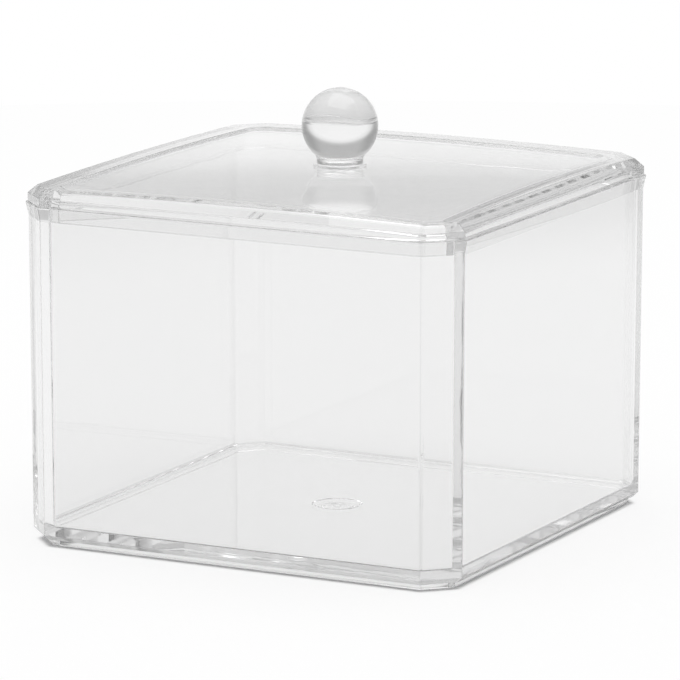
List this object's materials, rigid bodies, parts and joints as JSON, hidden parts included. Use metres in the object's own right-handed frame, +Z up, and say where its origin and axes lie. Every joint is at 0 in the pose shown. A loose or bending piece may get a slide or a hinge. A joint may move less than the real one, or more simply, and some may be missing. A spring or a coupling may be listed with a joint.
{
  "type": "acrylic storage box with lid",
  "caption": "Clear square storage box with chamfered corners, a low foot ring and a flared rim, closed by a lift-off crowned lid with a ball knob.",
  "frame": {"origin": "middle of the footprint, on the surface that the foot ring stands on", "axes": "+Z up through the knob, +X and +Y square to the sides of the box"},
  "size_m": [0.0978, 0.0978, 0.0894],
  "materials": {
    "clear_acrylic_body": "clear moulded acrylic, polished, faint neutral tint in the thick edges",
    "clear_acrylic_lid": "clear moulded acrylic, polished, with a crowned panel inside a bevelled frame",
    "clear_acrylic_knob": "clear cast acrylic ball, polished"
  },
  "bodies": {
    "box": {"box_body": "clear_acrylic_body"},
    "lid_unit": {"lid": "clear_acrylic_lid", "ball_knob": "clear_acrylic_knob"}
  },
  "joints": [
    {"name": "lid_lift", "type": "slide", "parent": "box", "child": "lid_unit", "axis": [0, 0, 1], "range_m": [0, 0.08]}
  ]
}
